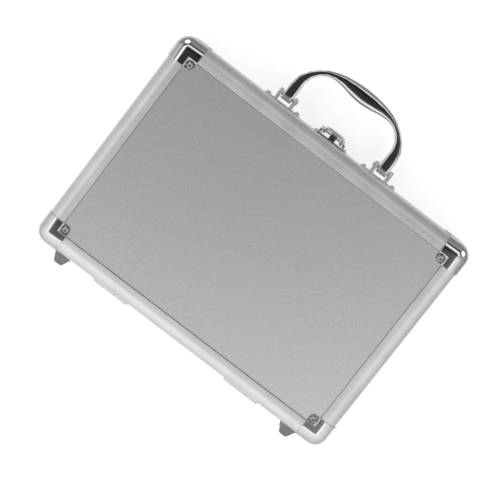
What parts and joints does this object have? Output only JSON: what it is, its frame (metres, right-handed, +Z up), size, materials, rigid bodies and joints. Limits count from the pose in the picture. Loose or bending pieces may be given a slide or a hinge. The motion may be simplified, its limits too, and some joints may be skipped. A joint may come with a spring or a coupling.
{
  "type": "art supply case",
  "caption": "Slim hinged case with aluminium rails, textured panels, chrome corner caps, a swinging carry handle, a draw latch and rubber feet.",
  "frame": {"origin": "centre of the bottom of the bounding box of the closed case lying flat, handle and feet included", "axes": "+X along the case's width, -Y toward the handle and latch, +Y toward the hinges and feet, +Z up through the lid"},
  "size_m": [0.3452, 0.3153, 0.076],
  "materials": {
    "anodised_aluminium": "satin clear anodised extrusion, drawn lengthwise",
    "textured_aluminium": "fine pebbled aluminium facing with a satin sheen",
    "chrome": "bright chrome plate",
    "zinc_plated_steel": "dull bright zinc plate",
    "grey_rubber": "matte moulded rubber",
    "black_lining": "fine black felt-faced foam"
  },
  "bodies": {
    "base": {"base_corner_back_left": "chrome", "base_corner_back_right": "chrome", "base_corner_front_left": "chrome", "base_corner_front_right": "chrome", "base_corner_rivet_back_left": "chrome", "base_corner_rivet_back_right": "chrome", "base_corner_rivet_front_left": "chrome", "base_corner_rivet_front_right": "chrome", "base_foot_left": "grey_rubber", "base_foot_right": "grey_rubber", "base_lining": "black_lining", "base_panel": "textured_aluminium", "base_rail_back": "anodised_aluminium", "base_rail_front": "anodised_aluminium", "base_rail_left": "anodised_aluminium", "base_rail_right": "anodised_aluminium", "bracket_rivet_left_inner": "chrome", "bracket_rivet_left_outer": "chrome", "bracket_rivet_right_inner": "chrome", "bracket_rivet_right_outer": "chrome", "handle_bracket_left": "chrome", "handle_bracket_right": "chrome", "handle_pin_left": "chrome", "handle_pin_right": "chrome", "hinge_base_leaf_left": "zinc_plated_steel", "hinge_base_leaf_right": "zinc_plated_steel", "hinge_pin_left": "zinc_plated_steel", "hinge_pin_right": "zinc_plated_steel", "latch_pin_left": "chrome", "latch_pin_right": "chrome", "latch_plate": "chrome", "latch_rivet_left": "chrome", "latch_rivet_right": "chrome"},
    "lid": {"catch_rivet_left": "chrome", "catch_rivet_right": "chrome", "hinge_lid_leaf_left": "zinc_plated_steel", "hinge_lid_leaf_right": "zinc_plated_steel", "latch_catch": "chrome", "lid_corner_back_left": "chrome", "lid_corner_back_right": "chrome", "lid_corner_front_left": "chrome", "lid_corner_front_right": "chrome", "lid_corner_rivet_back_left": "chrome", "lid_corner_rivet_back_right": "chrome", "lid_corner_rivet_front_left": "chrome", "lid_corner_rivet_front_right": "chrome", "lid_foot_left": "grey_rubber", "lid_foot_right": "grey_rubber", "lid_lining": "black_lining", "lid_panel": "textured_aluminium", "lid_rail_back": "anodised_aluminium", "lid_rail_front": "anodised_aluminium", "lid_rail_left": "anodised_aluminium", "lid_rail_right": "anodised_aluminium"},
    "handle": {"handle": "chrome"},
    "latch_lever": {"latch_lever": "chrome"},
    "latch_loop": {"latch_loop": "chrome"}
  },
  "joints": [
    {"name": "lid_hinge", "type": "hinge", "parent": "base", "child": "lid", "pos_m": [0, 0.1494, 0.038], "axis": [-1, 0, 0], "range_deg": [0, 90]},
    {"name": "handle_swing", "type": "hinge", "parent": "base", "child": "handle", "pos_m": [0, -0.1045, 0.027], "axis": [-1, 0, 0], "range_deg": [-22, 80]},
    {"name": "latch_lever_hinge", "type": "hinge", "parent": "base", "child": "latch_lever", "pos_m": [0, -0.0989, 0.029], "axis": [-1, 0, 0], "range_deg": [0, 85]},
    {"name": "latch_loop_hinge", "type": "hinge", "parent": "latch_lever", "child": "latch_loop", "pos_m": [0, -0.0987, 0.022], "axis": [-1, 0, 0], "range_deg": [-94, 0]}
  ],
  "couplings": [
    {"joint": "latch_loop_hinge", "follows": "latch_lever_hinge", "ratio": -1.1}
  ]
}
